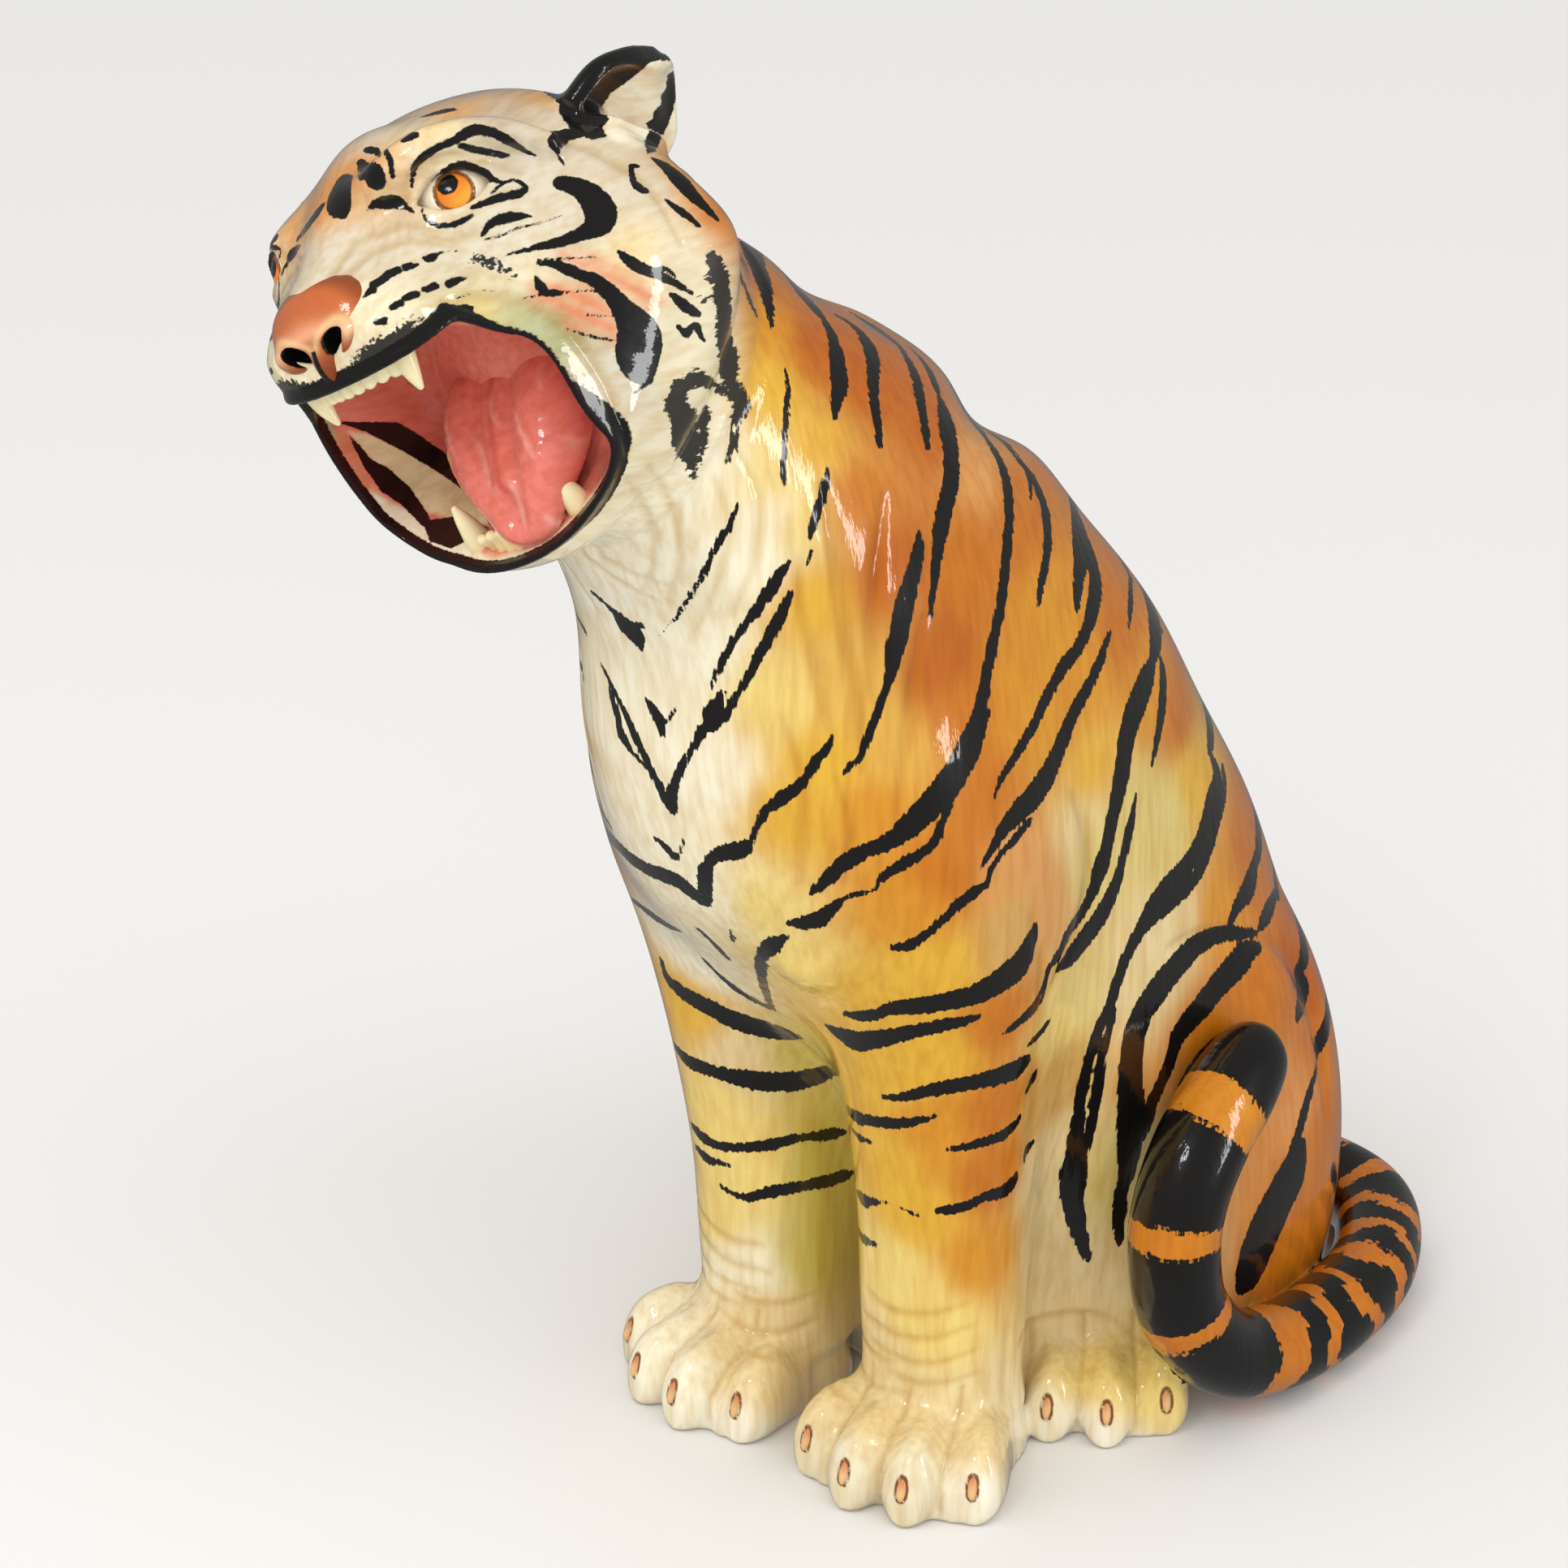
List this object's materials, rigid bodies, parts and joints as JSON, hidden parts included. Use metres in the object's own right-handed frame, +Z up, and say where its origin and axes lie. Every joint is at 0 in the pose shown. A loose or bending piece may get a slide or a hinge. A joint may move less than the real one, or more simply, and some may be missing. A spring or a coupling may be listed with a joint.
{
  "type": "ceramic tiger statue",
  "caption": "Seated roaring tiger, a hollow glazed ceramic floor figure with hand-painted stripes, open mouth, tilted head and a tail curled round one haunch.",
  "frame": {"origin": "on the floor, under the middle of the figure's box", "axes": "+Z up, -Y the way the chest and the front paws face, +X the tiger's left"},
  "size_m": [0.414, 0.7678, 0.8583],
  "materials": {
    "striped_glaze": "gloss, hand-painted ochre ground with brown-black stripes",
    "cream_glaze": "gloss, hand-painted cream ground with brown-black markings",
    "ear_glaze": "gloss, black outside and cream inside",
    "mouth_glaze": "gloss, rose red",
    "tooth_glaze": "gloss, ivory",
    "brown_glaze": "gloss, orange brown",
    "eye_glaze": "gloss, orange with a black pupil",
    "bare_clay": "unglazed, matt"
  },
  "bodies": {
    "root": {"torso_shell": "striped_glaze", "left_foreleg": "striped_glaze", "right_foreleg": "striped_glaze", "left_haunch": "striped_glaze", "right_haunch": "striped_glaze", "tail": "striped_glaze", "head_shell": "cream_glaze", "lower_jaw": "cream_glaze", "left_front_paw": "cream_glaze", "right_front_paw": "cream_glaze", "left_hind_paw": "cream_glaze", "right_hind_paw": "cream_glaze", "left_ear": "ear_glaze", "right_ear": "ear_glaze", "mouth_lining": "mouth_glaze", "tongue": "mouth_glaze", "upper_teeth": "tooth_glaze", "lower_teeth": "tooth_glaze", "nose": "brown_glaze", "left_front_claws": "brown_glaze", "right_front_claws": "brown_glaze", "left_hind_claws": "brown_glaze", "right_hind_claws": "brown_glaze", "left_eye": "eye_glaze", "right_eye": "eye_glaze", "base_plate": "bare_clay"}
  },
  "joints": []
}
